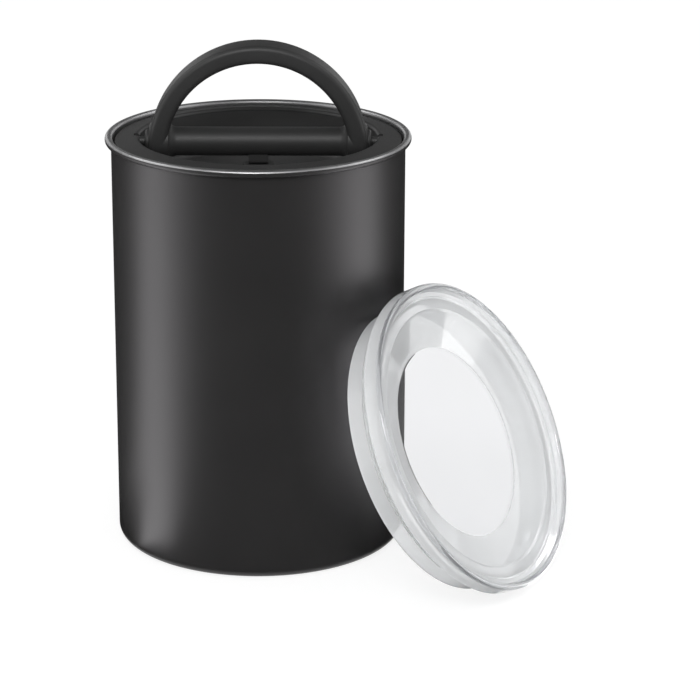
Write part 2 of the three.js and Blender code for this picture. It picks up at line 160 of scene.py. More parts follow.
# Vent valve, its cam and its spring
VALVE_TRAVEL = 3
CAM_WIDTH = 8
CAM_NOSE = 1.6
CAM_RELIEF = 0.1
CAM_LOW = BAR_RADIUS + CAM_RELIEF
BUTTON_TOP = -PIVOT_DROP - CAM_LOW - VALVE_TRAVEL - RUNNING_GAP
BUTTON_RADIUS = 6.4
BUTTON_THICKNESS = 1.6
SOCKET_ROOF = 0.8
SOCKET_WALL = 1.6
SOCKET_TOP = BUTTON_TOP - SOCKET_ROOF
SOCKET_RADIUS = STEM_RADIUS + SEAT_GAP
VALVE_SEAL_THICKNESS = 1.5
VALVE_SEAL_MARGIN = 0.9
VALVE_SEAL_TOP = FLOOR_UNDER - RUNNING_GAP - VALVE_TRAVEL
VALVE_SEAL_UNDER = VALVE_SEAL_TOP - VALVE_SEAL_THICKNESS
VALVE_SEAL_RADIUS = VENT_RING + VENT_RADIUS + VALVE_SEAL_MARGIN
POPPET_THICKNESS = 1.8
POPPET_RIM = 0.6
POPPET_CLEARANCE = 0.7
POPPET_TOP = VALVE_SEAL_UNDER - SEAT_GAP
POPPET_UNDER = POPPET_TOP - POPPET_THICKNESS
POPPET_RADIUS = VALVE_SEAL_RADIUS + POPPET_RIM
CHAMBER_FLOOR = POPPET_UNDER - POPPET_CLEARANCE
BASE_UNDER = CHAMBER_FLOOR - BASE_THICKNESS
SPRING_RADIUS = 5.2
SPRING_WIRE_RADIUS = 0.4
SPRING_TURNS = 3.25
SPRING_STEPS = 240
SPRING_SIDES = 16

# Outer lid, measured down from the top of its rim
RIM_OVERHANG = 1.5
OUTER_LID_RADIUS = RIM_RADIUS + RIM_OVERHANG
LID_RIM_WIDTH = 2.9
LID_RIM_ROUND = 1.4
UPPER_LEDGE_DEPTH = 3
UPPER_LEDGE_WIDTH = 2.4
LOWER_LEDGE_WIDTH = 4.3
LEDGE_STEP = 0.7
UPPER_LEDGE_RADIUS = OUTER_LID_RADIUS - LID_RIM_WIDTH - EDGE_ROUND
LOWER_LEDGE_RADIUS = UPPER_LEDGE_RADIUS - UPPER_LEDGE_WIDTH
DISH_TOP_RADIUS = LOWER_LEDGE_RADIUS - LOWER_LEDGE_WIDTH
DISH_DEPTH = 9.8
DISH_FLOOR_RADIUS = 40
DISH_FILLET = 2.5
CLEAR_WALL = 1.8
LID_SEAT_DEPTH = 6
LID_LIP_DEPTH = 7.6
LID_LIP_THICKNESS = 1.4
PLUG_GAP = 0.6
PLUG_WALL = 2
PLUG_RADIUS = CAN_BORE - PLUG_GAP
PLUG_BORE = PLUG_RADIUS - PLUG_WALL
OUTER_LID_HEIGHT = 20
GROOVE_TOP = 9.4
GROOVE_UNDER = 12.6
GROOVE_DEPTH = 1
GROOVE_RADIUS = PLUG_RADIUS - GROOVE_DEPTH
GASKET_PROUD = 0.5
LID_SHIFT = -5.6

# Materials: the noise values that give the two ends of a colour or roughness, and refractive indices
NOISE_LOW = 0.3
NOISE_HIGH = 0.7
CLEAR_PLASTIC_IOR = 1.49
SILICONE_IOR = 1.41

# Stage, with lengths in metres and greys from 0 to 1. Flags are dark cards, the others bright ones.
FLOOR_REACH = 6
FLOOR_BOUNCE = 0.85
FLOOR_SHADOWED = 0.25
FLOOR_LIFT = 0.8
WORLD_LIGHT = 0.8
CARD_STEPS = 24
CARD_LOW = 0.0005
CARD_FOOT = 0.062
FRONT_FOOT_END = 0.35
BACK_FOOT_END = 0.12
FLAG_AWAY = 1.5
FRONT_FLAG_TOP = 2
BACK_FLAG_TOP = 2.5
TOP_FLAG_BORE = 0.01
TOP_FLAG_RADIUS = 1.2
TOP_FLAG_HEIGHT = 2
SHINE_LOW = 2 * CARD_LOW
SHINE_TOP = 0.11
SHINE_AWAY = 0.93
RIGHT_SHINE_START = 0.1
RIGHT_SHINE_CENTRE = (0.015, -0.042, 0)
LEFT_SHINE_START = 0.045
LEFT_SHINE_CENTRE = (-0.015, -0.042, 0)
HIGH_SHINE_AWAY = 1.4
HIGH_SHINE_LOW = 1
HIGH_SHINE_TOP = 1.9
EDGE_CARD_AWAY = 1.2
EDGE_CARD_LOW = 0.17
EDGE_CARD_TOP = 0.55

# The sides that cards stand on: bearings in degrees from the front, anticlockwise from above
FRONT = (-50, 50)
BACK = (100, 260)
ALL_BUT_FRONT = (50, 310)
ALL_ROUND = (-180, 180)
RIGHT_LOW = (72, 104)
LEFT_LOW = (-103, -72)
RIGHT_HIGH = (95, 125)
LEFT_HIGH = (-125, -95)
RIGHT_BEHIND = (140, 166)
LEFT_BEHIND = (-166, -140)

# Key lamp, in metres and watts
KEY_PLACE = (-0.1, -0.9, 0.85)
KEY_AIM = (0, 0, 0.1)
KEY_WIDTH = 0.6
KEY_HEIGHT = 0.3
KEY_POWER = 6

# Camera, fitted to the photograph's can: where it stands round the can and how it is turned, in metres
# and radians, and its lens and sensor, in millimetres
CAMERA_ROUND = math.radians(1.5)
CAMERA_AWAY = 1.11546
CAMERA_HEIGHT = 0.44570
CAMERA_YAW = 0.034377
CAMERA_PITCH = 0.317210
CAMERA_ROLL = 0.004253
CAMERA_LENS = 142.03
CAMERA_SENSOR = 36


def arc(centre_x, centre_y, radius, start, end, steps):
    """Points of an arc from one angle to another, in degrees, both ends included."""
    points = []
    for step in range(steps + 1):
        angle = math.radians(start + (end - start) * step / steps)
        points.append((centre_x + radius * math.cos(angle), centre_y + radius * math.sin(angle)))
    return points


def make_object(name, vertices, faces):
    """A smooth-shaded mesh object from points in millimetres."""
    mesh = bpy.data.meshes.new(name)
    mesh.from_pydata([Vector(v) * MM for v in vertices], [], faces)
    tidy = bmesh.new()
    tidy.from_mesh(mesh)
    bmesh.ops.remove_doubles(tidy, verts=tidy.verts, dist=MERGE_DISTANCE)
    bmesh.ops.recalc_face_normals(tidy, faces=tidy.faces)
    tidy.to_mesh(mesh)
    tidy.free()
    mesh.shade_smooth()
    mesh.set_sharp_from_angle(angle=SHARP_ANGLE)
    made = bpy.data.objects.new(name, mesh)
    bpy.context.scene.collection.objects.link(made)
    return made


def lathe_mesh(profile, segments):
    """Vertices and faces of a profile of (radius, height) points turned about Z."""
    on_axis = profile[0][0] == 0 and profile[-1][0] == 0
    rows = len(profile)
    vertices = []
    for segment in range(segments):
        angle = 2 * math.pi * segment / segments
        for radius, height in profile:
            vertices.append((radius * math.cos(angle), radius * math.sin(angle), height))
    faces = []
    for segment in range(segments):
        here = segment * rows
        there = (segment + 1) % segments * rows
        for row in range(rows - 1 if on_axis else rows):
            after = (row + 1) % rows
            if on_axis and row == 0:
                faces.append((here, there + after, here + after))
            elif on_axis and after == rows - 1:
                faces.append((here + row, there + row, here + after))
            else:
                faces.append((here + row, there + row, there + after, here + after))
    return vertices, faces


def supported(profile):
    """The profile with a point close to each end of its long straights, so that they are shaded flat."""
    points = []
    for start, end in zip(profile, [*profile[1:], profile[0]]):
        points.append(start)
        start = Vector(start)
        end = Vector(end)
        length = (end - start).length
        if length > 4 * SUPPORT and start.x + end.x > 0:
            points.append(tuple(start.lerp(end, SUPPORT / length)))
            points.append(tuple(end.lerp(start, SUPPORT / length)))
    return points


def lathe(name, profile, place, segments=SEGMENTS):
    """A turned piece, moved by the matrix place, which is in millimetres."""
    vertices, faces = lathe_mesh(supported(profile), segments)
    return make_object(name, [place @ Vector(v) for v in vertices], faces)


def prism(outline, along, across, depth):
    """Vertices and faces of an outline in the plane of two axes, centred on that plane and depth thick."""
    along = Vector(along)
    across = Vector(across)
    normal = along.cross(across)
    vertices = []
    for side in (-1, 1):
        vertices += [along * u + across * v + normal * side * depth / 2 for u, v in outline]
    count = len(outline)
    faces = [tuple(range(count - 1, -1, -1)), tuple(range(count, 2 * count))]
    for index in range(count):
        after = (index + 1) % count
        faces.append((index, after, count + after, count + index))
    return vertices, faces


def block(start, end, width, low, high):
    """Vertices and faces of a block along X, centred on Y."""
    outline = [(start, low), (end, low), (end, high), (start, high)]
    return prism(outline, (1, 0, 0), (0, 0, 1), width)


def upright_rod(radius, start, end):
    """Vertices and faces of a round rod along Z."""
    return lathe_mesh([(0, start), (radius, start), (radius, end), (0, end)], ROD_SEGMENTS)


def laid_along_x(part):
    """A part that was made along Z, laid along X."""
    vertices, faces = part
    return [(z, x, y) for x, y, z in vertices], faces


def rod(radius, start, end):
    """Vertices and faces of a round rod along X."""
    return laid_along_x(upright_rod(radius, start, end))


def merge(parts):
    """One list of vertices and one of faces from several."""
    vertices = []
    faces = []
    for part_vertices, part_faces in parts:
        first = len(vertices)
        vertices += part_vertices
        faces += [tuple(first + index for index in face) for face in part_faces]
    return vertices, faces


def moved(part, offset):
    """A part moved by an offset."""
    vertices, faces = part
    return [Vector(v) + Vector(offset) for v in vertices], faces


def turned(part, angle):
    """A part turned about Z."""
    vertices, faces = part
    turn = Matrix.Rotation(angle, 3, "Z")
    return [turn @ Vector(v) for v in vertices], faces


def combine(target, parts, operation):
    """Adds parts to a piece, or cuts them out of it, and keeps the result as its mesh."""
    for number, (vertices, faces) in enumerate(parts):
        tool = make_object(f"tool_{number}", vertices, faces)
        modifier = target.modifiers.new("combine", "BOOLEAN")
        modifier.operation = operation
        modifier.solver = "EXACT"
        modifier.object = tool
        graph = bpy.context.evaluated_depsgraph_get()
        finished = bpy.data.meshes.new_from_object(target.evaluated_get(graph))
        target.modifiers.clear()
        target.data = finished
        bpy.data.objects.remove(tool)
    target.data.shade_smooth()
    target.data.set_sharp_from_angle(angle=SHARP_ANGLE)


# Materials


def new_material(name):
    """A material with a principled shader, and the shader itself."""
    material = bpy.data.materials.new(name)
    material.use_nodes = True
    return material, material.node_tree, material.node_tree.nodes["Principled BSDF"]


def object_noise(tree, scale, detail=4.0, stretch=(1, 1, 1)):
    """Noise in the object's own metres, with its scale multiplied by stretch along each axis."""
    place = tree.nodes.new("ShaderNodeTexCoord")
    mapping = tree.nodes.new("ShaderNodeMapping")
    mapping.inputs["Scale"].default_value = stretch
    noise = tree.nodes.new("ShaderNodeTexNoise")
    noise.inputs["Scale"].default_value = scale
    noise.inputs["Detail"].default_value = detail
    tree.links.new(place.outputs["Object"], mapping.inputs["Vector"])
    tree.links.new(mapping.outputs["Vector"], noise.inputs["Vector"])
    return noise


def vary_colour(tree, shader, noise, dark, light):
    """Lets noise vary the shader's colour between two."""
    ramp = tree.nodes.new("ShaderNodeValToRGB")
    ramp.color_ramp.elements[0].position = NOISE_LOW
    ramp.color_ramp.elements[0].color = (*dark, 1)
    ramp.color_ramp.elements[1].position = NOISE_HIGH
    ramp.color_ramp.elements[1].color = (*light, 1)
    tree.links.new(noise.outputs["Fac"], ramp.inputs["Fac"])
    tree.links.new(ramp.outputs["Color"], shader.inputs["Base Color"])


def vary_roughness(tree, shader, noise, low, high):
    """Lets noise vary the shader's roughness between two values."""
    spread = tree.nodes.new("ShaderNodeMapRange")
    spread.inputs["From Min"].default_value = NOISE_LOW
    spread.inputs["From Max"].default_value = NOISE_HIGH
    spread.inputs["To Min"].default_value = low
    spread.inputs["To Max"].default_value = high
    tree.links.new(noise.outputs["Fac"], spread.inputs["Value"])
    tree.links.new(spread.outputs["Result"], shader.inputs["Roughness"])


def add_bump(tree, shader, noise, strength, distance):
    """Lets noise roughen the surface, by a distance in metres and with a strength from 0 to 1."""
    bump = tree.nodes.new("ShaderNodeBump")
    bump.inputs["Strength"].default_value = strength
    bump.inputs["Distance"].default_value = distance
    tree.links.new(noise.outputs["Fac"], bump.inputs["Height"])
    tree.links.new(bump.outputs["Normal"], shader.inputs["Normal"])


def satin_coat():
    """Baked satin coating: a soft sheen with a very fine orange peel."""
    material, tree, shader = new_material("satin_coat")
    broad = object_noise(tree, scale=40)
    vary_colour(tree, shader, broad, dark=(0.0150, 0.0148, 0.0145), light=(0.0170, 0.0167, 0.0163))
    fine = object_noise(tree, scale=1800, detail=2)
    vary_roughness(tree, shader, fine, low=0.40, high=0.45)
    add_bump(tree, shader, fine, strength=0.05, distance=0.0001)
    shader.inputs["Specular Tint"].default_value = (1, 0.96, 1, 1)
    return material


def bare_steel():
    """Rolled steel, with fine lines round the rim."""
    material, tree, shader = new_material("bare_steel")
    broad = object_noise(tree, scale=120)
    vary_colour(tree, shader, broad, dark=(0.38, 0.38, 0.385), light=(0.44, 0.44, 0.445))
    lines = object_noise(tree, scale=60, detail=2, stretch=(1, 1, 60))
    vary_roughness(tree, shader, lines, low=0.36, high=0.46)
    shader.inputs["Metallic"].default_value = 1
    return material


def black_plastic(name, grey, roughness):
    """Moulded plastic with a spark-eroded grain, which varies a little about its grey and roughness."""
    material, tree, shader = new_material(name)
    broad = object_noise(tree, scale=60)
    vary_colour(tree, shader, broad, dark=[0.92 * grey] * 3, light=[1.08 * grey] * 3)
    grain = object_noise(tree, scale=2200, detail=3)
    vary_roughness(tree, shader, grain, low=roughness - 0.05, high=roughness + 0.05)
    add_bump(tree, shader, grain, strength=0.12, distance=0.0002)
    shader.inputs["Specular IOR Level"].default_value = 0.45
    return material


def grey_silicone():
    """Matte silicone rubber, for the seals."""
    material, tree, shader = new_material("grey_silicone")
    broad = object_noise(tree, scale=90)
    vary_colour(tree, shader, broad, dark=(0.055, 0.055, 0.058), light=(0.07, 0.07, 0.073))
    vary_roughness(tree, shader, broad, low=0.6, high=0.75)
    fine = object_noise(tree, scale=1500, detail=2)
    add_bump(tree, shader, fine, strength=0.08, distance=0.0002)
    return material


def spring_steel():
    """Drawn wire, slightly uneven in colour and shine."""
    material, tree, shader = new_material("spring_steel")
    fine = object_noise(tree, scale=900, stretch=(1, 1, 4))
    vary_colour(tree, shader, fine, dark=(0.5, 0.5, 0.51), light=(0.62, 0.62, 0.63))
    vary_roughness(tree, shader, fine, low=0.22, high=0.34)
    shader.inputs["Metallic"].default_value = 1
    return material


def clear_plastic():
    """Clear moulded plastic, with a faint cool tint."""
    material, tree, shader = new_material("clear_plastic")
    broad = object_noise(tree, scale=30)
    vary_colour(tree, shader, broad, dark=(0.93, 0.935, 0.95), light=(0.945, 0.95, 0.965))
    vary_roughness(tree, shader, broad, low=0.01, high=0.03)
    shader.inputs["Transmission Weight"].default_value = 1
    shader.inputs["Specular IOR Level"].default_value = 0.1
    shader.inputs["IOR"].default_value = CLEAR_PLASTIC_IOR
    return material


def milky_plastic():
    """The same plastic where it is thick and frosted: light scatters in it, so it looks milky."""
    material, tree, shader = new_material("milky_plastic")
    broad = object_noise(tree, scale=30)
    vary_colour(tree, shader, broad, dark=(0.89, 0.90, 0.91), light=(0.93, 0.94, 0.95))
    vary_roughness(tree, shader, broad, low=0.05, high=0.09)
    shader.inputs["Transmission Weight"].default_value = 0.52
    shader.inputs["IOR"].default_value = CLEAR_PLASTIC_IOR
    return material


def clear_silicone():
    """Translucent silicone rubber, for the outer lid's gasket."""
    material, tree, shader = new_material("clear_silicone")
    broad = object_noise(tree, scale=60)
    vary_colour(tree, shader, broad, dark=(0.9, 0.92, 0.92), light=(0.95, 0.96, 0.96))
    vary_roughness(tree, shader, broad, low=0.3, high=0.4)
    shader.inputs["Transmission Weight"].default_value = 0.6
    shader.inputs["IOR"].default_value = SILICONE_IOR
    return material


COAT = satin_coat()
STEEL = bare_steel()
PLASTIC = black_plastic("black_plastic", grey=0.024, roughness=0.49)
# A lighter grey of the same plastic, painted light that lifts the shade in the inner lid's well; it is also
# rougher.
WELL_PAINTED_LIGHT = black_plastic("well_painted_light", grey=0.048, roughness=0.6)
SILICONE = grey_silicone()
SPRING = spring_steel()
CLEAR = clear_plastic()
MILKY = milky_plastic()
GASKET = clear_silicone()


# Pieces


def dress(piece, body, slot, material, *nodes):
    """Gives a piece its material and body, and hides the nodes that it stands for; its slot is not used."""
    piece.data.materials.clear()
    piece.data.materials.append(material)
    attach(piece, body)
    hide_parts(*nodes)
    return piece


def add_material(piece, material, chosen, place):
    """Gives a second material to the faces of a turned piece that chosen(radius, height) picks."""
    piece.data.materials.append(material)
    back = place.inverted()
    for face in piece.data.polygons:
        middle = back @ (face.center / MM)
        if chosen(math.hypot(middle.x, middle.y), middle.z):
            face.material_index = 1


STANDING = Matrix()
IN_LID = Matrix.Translation((0, 0, LID_TOP))
ROLL_CENTRE = CAN_BORE + RIM_ROLL_RADIUS
ROLL_HEIGHT = CAN_HEIGHT - RIM_ROLL_RADIUS


def can_profile():
    """The can's sheet: the outside up to the rolled rim, round the roll, and down the inside."""
    roll_end = 180 - RIM_ROLL_DEGREES
    inner_fillet = BASE_FILLET - SHEET
    return [
        (0, 0),
        *arc(CAN_RADIUS - BASE_FILLET, BASE_FILLET, BASE_FILLET, -90, 0, FILLET_STEPS),
        *arc(ROLL_CENTRE, ROLL_HEIGHT, RIM_ROLL_RADIUS - SHEET, 180, roll_end, ROLL_STEPS),
        *arc(ROLL_CENTRE, ROLL_HEIGHT, RIM_ROLL_RADIUS, roll_end, COAT_END_DEGREES, ROLL_STEPS),
        *arc(ROLL_CENTRE, ROLL_HEIGHT, RIM_ROLL_RADIUS, COAT_END_DEGREES, 180, ROLL_STEPS)[1:],
        *arc(CAN_BORE - inner_fillet, SHEET + inner_fillet, inner_fillet, 0, -90, ROUND_STEPS),
        (0, SHEET),
    ]


def is_bare(radius, height):
    """Whether the can is bare steel there: inside, and on top of the rolled rim."""
    if height > ROLL_HEIGHT:
        return math.degrees(math.atan2(height - ROLL_HEIGHT, radius - ROLL_CENTRE)) > COAT_END_DEGREES
    corner = CAN_RADIUS - BASE_FILLET
    if height < BASE_FILLET and radius > corner:
        return math.hypot(radius - corner, height - BASE_FILLET) < BASE_FILLET - SHEET / 2
    return radius < CAN_RADIUS - SHEET / 2 and height > SHEET / 2


def make_can():
    """The can, coated outside, and bare inside and on top of its rim."""
    can = dress(lathe("can", can_profile(), STANDING), "can", "coated_steel", COAT, "can_body")
    add_material(can, STEEL, is_bare, STANDING)


def lid_plate_profile():
    """The upper moulding: under its floor, round its skirt and flange, and down into its well."""
    well_outside = WELL_RADIUS + MOULDED_WALL
    outer_fillet = WELL_FILLET + MOULDED_WALL
    flange_under = -FLANGE_FALL - FLANGE_THICKNESS
    flange_run = LID_RADIUS - FLANGE_ROUND - WELL_RADIUS - WELL_LIP
    upright = 90 - math.degrees(math.atan2(FLANGE_FALL, flange_run))
    edge_centre = -FLANGE_FALL - FLANGE_ROUND
    edge = arc(LID_RADIUS - FLANGE_ROUND, edge_centre, FLANGE_ROUND, 0, upright, ROUND_STEPS)
    lip = arc(WELL_RADIUS + WELL_LIP, -WELL_LIP, WELL_LIP, upright, 180, FILLET_STEPS)
    return [
        (STEM_HOLE, FLOOR_UNDER),
        *arc(well_outside - outer_fillet, FLOOR_UNDER + outer_fillet, outer_fillet, -90, 0, ROUND_STEPS),
        (well_outside, -FLANGE_THICKNESS),
        (SKIRT_BORE, flange_under),
        (SKIRT_BORE, SKIRT_UNDER),
        (SKIRT_RADIUS, SKIRT_UNDER),
        (SKIRT_RADIUS, flange_under),
        (LID_RADIUS, flange_under),
        *edge,
        *lip,
        *arc(WELL_RADIUS - WELL_FILLET, FLOOR_TOP + WELL_FILLET, WELL_FILLET, 0, -90, WELL_STEPS),
        (GUIDE_RADIUS, FLOOR_TOP),
        (GUIDE_RADIUS, GUIDE_TOP),
        (STEM_HOLE, GUIDE_TOP),
    ]


def is_in_well(radius, height):
    """Whether the inner lid is lighter and duller there, a painted light in the shade of the well: on its
    wall and floor.
    """
    slack = 0.1
    return radius < WELL_RADIUS + slack and FLOOR_TOP - slack < height < -WELL_LIP


def make_lid_plate():
    """The inner lid's upper moulding, with its bearing blocks, snap-in bearings and vent holes."""
    plate = lathe("inner_lid", lid_plate_profile(), IN_LID)
    bearing_radius = TRUNNION_RADIUS + RUNNING_GAP
    bearing_end = WELL_RADIUS + BEARING_DEPTH + RUNNING_GAP
    block_width = 2 * (bearing_radius + BEARING_WALL)
    block_under = -PIVOT_DROP - bearing_radius - BEARING_WALL
    drill_reach = 3
    blocks = []
    cutters = []
    for side in (-1, 1):
        start, end = sorted((side * (WELL_RADIUS + MOULDED_WALL / 2), side * (bearing_end + BEARING_WALL)))
        blocks.append(block(start, end, block_width, LID_TOP + block_under, LID_TOP - FLANGE_THICKNESS / 2))
        start, end = sorted((side * (WELL_RADIUS - WELL_LIP), side * bearing_end))
        cutters.append(moved(rod(bearing_radius, start, end), (0, 0, LID_TOP - PIVOT_DROP)))
        mouth_width = 2 * TRUNNION_RADIUS - SNAP_GRIP
        cutters.append(block(start, end, mouth_width, LID_TOP - PIVOT_DROP, LID_TOP + EDGE_ROUND))
    for number in range(VENT_COUNT):
        angle = 2 * math.pi * (number + 0.5) / VENT_COUNT
        drill = upright_rod(VENT_RADIUS, -drill_reach, drill_reach)
        middle = LID_TOP + FLOOR_TOP - FLOOR_THICKNESS / 2
        cutters.append(moved(drill, (VENT_RING * math.cos(angle), VENT_RING * math.sin(angle), middle)))
    combine(plate, blocks, "UNION")
    combine(plate, cutters, "DIFFERENCE")
    dress(plate, "plunger", "black_plastic", PLASTIC, "lid_plate")
    # Paints the well's wall and floor lighter: painted light in the shade of the well.
    add_material(plate, WELL_PAINTED_LIGHT, is_in_well, IN_LID)


def make_lid_base():
    """The inner lid's lower moulding, with its ring of vent slots."""
    spigot_top = FLOOR_UNDER - RUNNING_GAP
    spigot_bore = SPIGOT_RADIUS - MOULDED_WALL
    profile = [
        (0, BASE_UNDER),
        *arc(SKIRT_RADIUS - BASE_ROUND, BASE_UNDER + BASE_ROUND, BASE_ROUND, -90, 0, ROUND_STEPS),
        (SKIRT_RADIUS, BASE_RIM_TOP),
        (SPIGOT_RADIUS, BASE_RIM_TOP),
        (SPIGOT_RADIUS, spigot_top),
        (spigot_bore, spigot_top),
        (spigot_bore, CHAMBER_FLOOR),
        (0, CHAMBER_FLOOR),
    ]
    base = lathe("inner_lid_base", profile, IN_LID)
    slot_low = LID_TOP + BASE_UNDER - CUT_OVERRUN
    slot_high = LID_TOP + CHAMBER_FLOOR + CUT_OVERRUN
    slot = block(SLOT_HUB_RADIUS, SLOT_HUB_RADIUS + SLOT_LENGTH, SLOT_WIDTH, slot_low, slot_high)
    slots = [turned(slot, 2 * math.pi * number / SLOT_COUNT) for number in range(SLOT_COUNT)]
    combine(base, slots, "DIFFERENCE")
    dress(base, "plunger", "black_plastic", PLASTIC, "lid_base")


def make_wiper():
    """The wiper seal: a foot under the skirt and a lip that flares up to the can's wall."""
    foot_bore = SPIGOT_RADIUS + SEAT_GAP
    lip_radius = CAN_BORE - RUNNING_GAP
    lip_top = SEAL_UNDER + SEAL_LIP_HEIGHT
    profile = [
        (foot_bore, SEAL_UNDER),
        (SKIRT_RADIUS, SEAL_UNDER),
        (lip_radius, lip_top - SEAL_LIP_THICKNESS),
        (lip_radius, lip_top),
        (lip_radius - SEAL_LIP_THICKNESS, lip_top),
        (SKIRT_RADIUS + SEAT_GAP, SEAL_TOP),
        (foot_bore, SEAL_TOP),
    ]
    dress(lathe("wiper", profile, IN_LID), "plunger", "grey_silicone", SILICONE, "wiper_seal")


def arch_outline(inset):
    """Outline of the arch, drawn in from its edge by inset, with its zero on the pivot."""
    outer = HANDLE_RADIUS - inset
    inner = HANDLE_BORE + inset
    leg_end = inset - HANDLE_ROUND
    outer_end = math.degrees(math.asin((leg_end - ARCH_CENTRE) / outer))
    inner_end = math.degrees(math.asin((leg_end - ARCH_BORE_CENTRE) / inner))
    return [
        *arc(0, ARCH_CENTRE, outer, outer_end, 180 - outer_end, ARCH_STEPS),
        *arc(0, ARCH_BORE_CENTRE, inner, 180 - inner_end, inner_end, ARCH_STEPS),
    ]


def arch_part():
    """The arch, with every edge rounded."""
    flat = HANDLE_DEPTH / 2 - HANDLE_ROUND
    rings = []
    for side in (-1, 1):
        order = range(ROUND_STEPS + 1) if side < 0 else range(ROUND_STEPS, -1, -1)
        for step in order:
            angle = math.pi / 2 * step / ROUND_STEPS
            depth = side * (flat + HANDLE_ROUND * math.cos(angle))
            inset = HANDLE_ROUND - HANDLE_ROUND * math.sin(angle)
            rings.append([(x, depth, z) for x, z in arch_outline(inset)])
    count = len(rings[0])
    vertices = [point for ring in rings for point in ring]
    faces = [tuple(range(count)), tuple(range((len(rings) - 1) * count, len(rings) * count))]
    for ring in range(len(rings) - 1):
        for index in range(count):
            after = (index + 1) % count
            here = ring * count
            there = here + count
            faces.append((here + index, here + after, there + after, there + index))
    return vertices, faces


def cam_part():
    """Cam under the bar, with an involute face."""
    slope = VALVE_TRAVEL / (math.pi / 2)
    high = CAM_LOW + VALVE_TRAVEL
    steps = 24
    face = []
    for step in range(steps + 1):
        turn = math.pi / 2 * step / steps
        reach = high - slope * turn
        across = reach * math.sin(turn) - slope * math.cos(turn)
        up = -reach * math.cos(turn) - slope * math.sin(turn)
        face.append((across, up))
    outline = [
        (0, 0),
        (-slope - CAM_NOSE, 0),
        *arc(-slope, CAM_NOSE - high, CAM_NOSE, 180, 270, FILLET_STEPS)[:-1],
        *face,
        (CAM_LOW, 0),
    ]
    return prism(outline, (0, 1, 0), (0, 0, 1), CAM_WIDTH)


def bar_part():
    """The round part of the handle: the bar, a flare and a boss at each leg, and a collar outside it."""
    outer_reach = math.sqrt(HANDLE_RADIUS**2 - ARCH_CENTRE**2)
    inner_reach = math.sqrt(HANDLE_BORE**2 - ARCH_BORE_CENTRE**2)
    collar_reach = outer_reach + COLLAR_WIDTH
    flare_centre = BAR_RADIUS + BAR_FILLET
    flare_end = math.degrees(math.acos((BOSS_RADIUS - flare_centre) / BAR_FILLET))
    half = [
        *arc(flare_centre, inner_reach - BAR_FILLET, BAR_FILLET, 180, flare_end, FLARE_STEPS),
        *arc(BOSS_RADIUS - HANDLE_ROUND, outer_reach - HANDLE_ROUND, HANDLE_ROUND, 0, 90, ROUND_STEPS),
        (COLLAR_RADIUS, outer_reach),
        *arc(COLLAR_RADIUS - COLLAR_ROUND, collar_reach - COLLAR_ROUND, COLLAR_ROUND, 0, 90, ROUND_STEPS),
        (0, collar_reach),
    ]
    other_half = [(radius, -along) for radius, along in reversed(half)]
    return laid_along_x(lathe_mesh(supported([*other_half, *half]), SMALL_SEGMENTS))


def make_handle():
    """The handle: an arch on a round bar, with its trunnions and its cam."""
    trunnion_reach = WELL_RADIUS + BEARING_DEPTH
    trunnions = rod(TRUNNION_RADIUS, -trunnion_reach, trunnion_reach)
    parts = [arch_part(), bar_part(), trunnions, cam_part()]
    vertices, faces = moved(merge(parts), (0, 0, LID_TOP - PIVOT_DROP))
    dress(make_object("d_handle", vertices, faces), "handle", "black_plastic", PLASTIC, "handle")


def make_valve():
    """The button that the cam presses, the poppet on its stem, and the washer on the poppet."""
    button_under = BUTTON_TOP - BUTTON_THICKNESS
    socket_outside = SOCKET_RADIUS + SOCKET_WALL
    socket_under = GUIDE_TOP + 2 * RUNNING_GAP
    button = [
        (0, SOCKET_TOP),
        (SOCKET_RADIUS, SOCKET_TOP),
        (SOCKET_RADIUS, socket_under),
        (socket_outside, socket_under),
        (socket_outside, button_under),
        (BUTTON_RADIUS, button_under),
        *arc(BUTTON_RADIUS - EDGE_ROUND, BUTTON_TOP - EDGE_ROUND, EDGE_ROUND, 0, 90, EDGE_STEPS),
        (0, BUTTON_TOP),
    ]
    stem_top = SOCKET_TOP - SEAT_GAP
    poppet = [
        (0, POPPET_UNDER),
        *arc(POPPET_RADIUS - EDGE_ROUND, POPPET_UNDER + EDGE_ROUND, EDGE_ROUND, -90, 0, EDGE_STEPS),
        (POPPET_RADIUS, POPPET_TOP),
        (STEM_RADIUS, POPPET_TOP),
        (STEM_RADIUS, stem_top - EDGE_ROUND),
        (STEM_RADIUS - EDGE_ROUND, stem_top),
        (0, stem_top),
    ]
    face_top = VALVE_SEAL_TOP - EDGE_ROUND
    washer = [
        (SOCKET_RADIUS, VALVE_SEAL_UNDER),
        (VALVE_SEAL_RADIUS, VALVE_SEAL_UNDER),
        (VALVE_SEAL_RADIUS, face_top),
        (VALVE_SEAL_RADIUS - EDGE_ROUND, VALVE_SEAL_TOP),
        (VALVE_SEAL_RADIUS - 2 * EDGE_ROUND, VALVE_SEAL_TOP),
        (VALVE_SEAL_RADIUS - 3 * EDGE_ROUND, face_top),
        (SOCKET_RADIUS, face_top),
    ]
    for name, profile, slot, material, stands_for in (
        ("button", button, "black_plastic", PLASTIC, "valve_button"),
        ("poppet", poppet, "black_plastic", PLASTIC, "valve_poppet"),
        ("washer", washer, "grey_silicone", SILICONE, "valve_seal"),
    ):
        dress(lathe(name, profile, IN_LID, SMALL_SEGMENTS), "valve", slot, material, stands_for)


